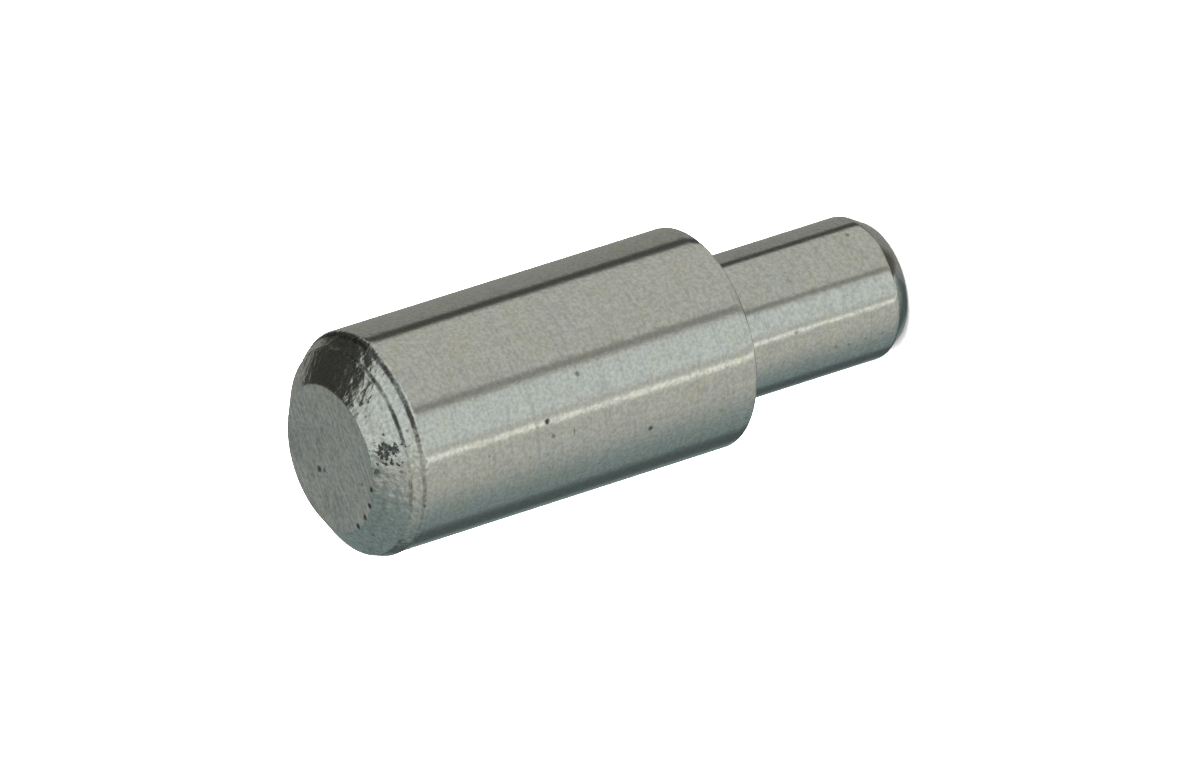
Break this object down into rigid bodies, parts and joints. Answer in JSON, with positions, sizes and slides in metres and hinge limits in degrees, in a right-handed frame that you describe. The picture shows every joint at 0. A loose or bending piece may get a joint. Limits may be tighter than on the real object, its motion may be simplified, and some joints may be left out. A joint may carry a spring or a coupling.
{
  "type": "shelf support pin",
  "caption": "Turned steel pin in two diameters: the thin plug goes into a drilled panel hole and the thick bevelled head carries the shelf.",
  "frame": {"origin": "centre of the flat end of the plug", "axes": "+Z along the pin's axis, from the plug to the head"},
  "size_m": [0.0074, 0.0074, 0.0214],
  "materials": {
    "zinc_plated_steel": "bright zinc plating over turned steel"
  },
  "bodies": {
    "root": {"support_pin": "zinc_plated_steel"}
  },
  "joints": []
}
